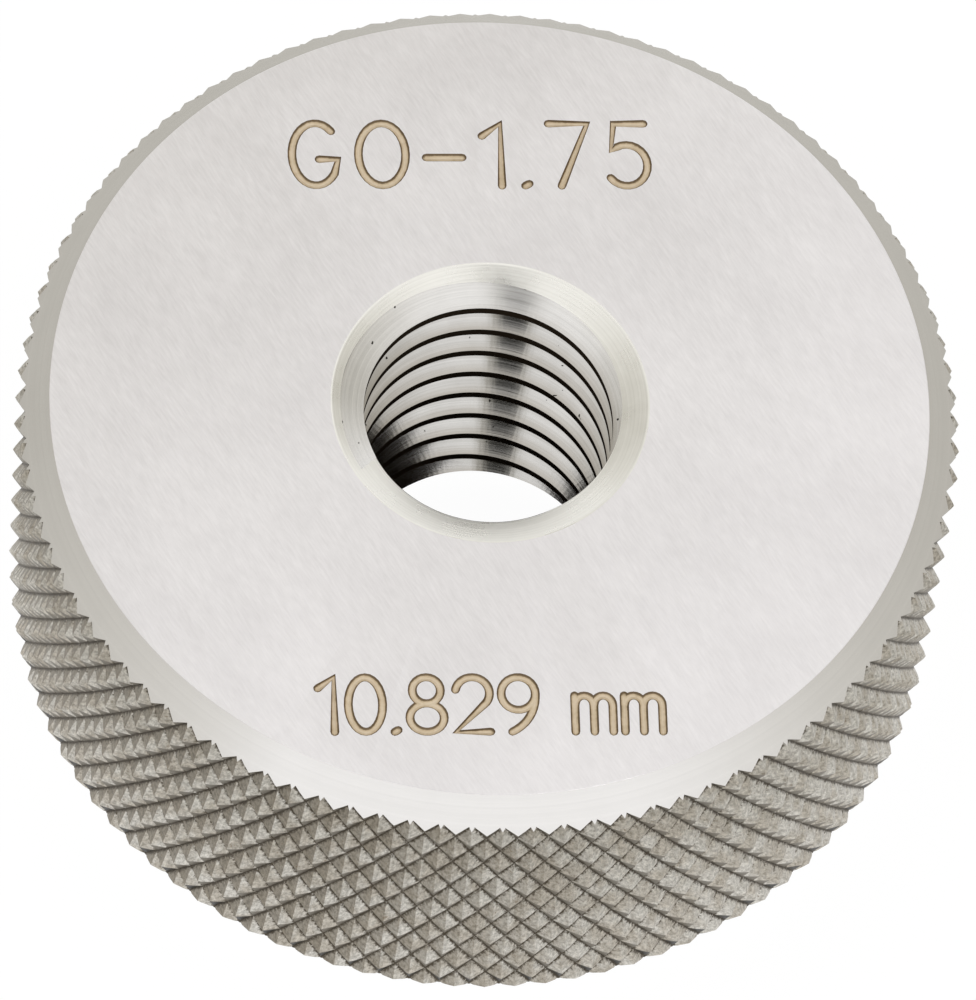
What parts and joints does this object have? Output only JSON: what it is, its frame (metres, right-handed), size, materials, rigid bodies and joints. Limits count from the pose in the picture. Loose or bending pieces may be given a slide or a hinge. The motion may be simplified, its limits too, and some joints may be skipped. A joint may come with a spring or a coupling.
{
  "type": "thread ring gauge",
  "caption": "Thick steel ring gauge with a diamond-knurled rim, bevelled edges, flat ground faces and a countersunk threaded bore through its middle.",
  "frame": {"origin": "middle of the lower face, on the axis of the bore", "axes": "+Z along the bore, from the lower face to the upper one"},
  "size_m": [0.038, 0.038, 0.016],
  "materials": {
    "hardened_steel": "ground faces, turned bevels and a knurled rim"
  },
  "bodies": {
    "root": {"thread_ring": "hardened_steel"}
  },
  "joints": []
}
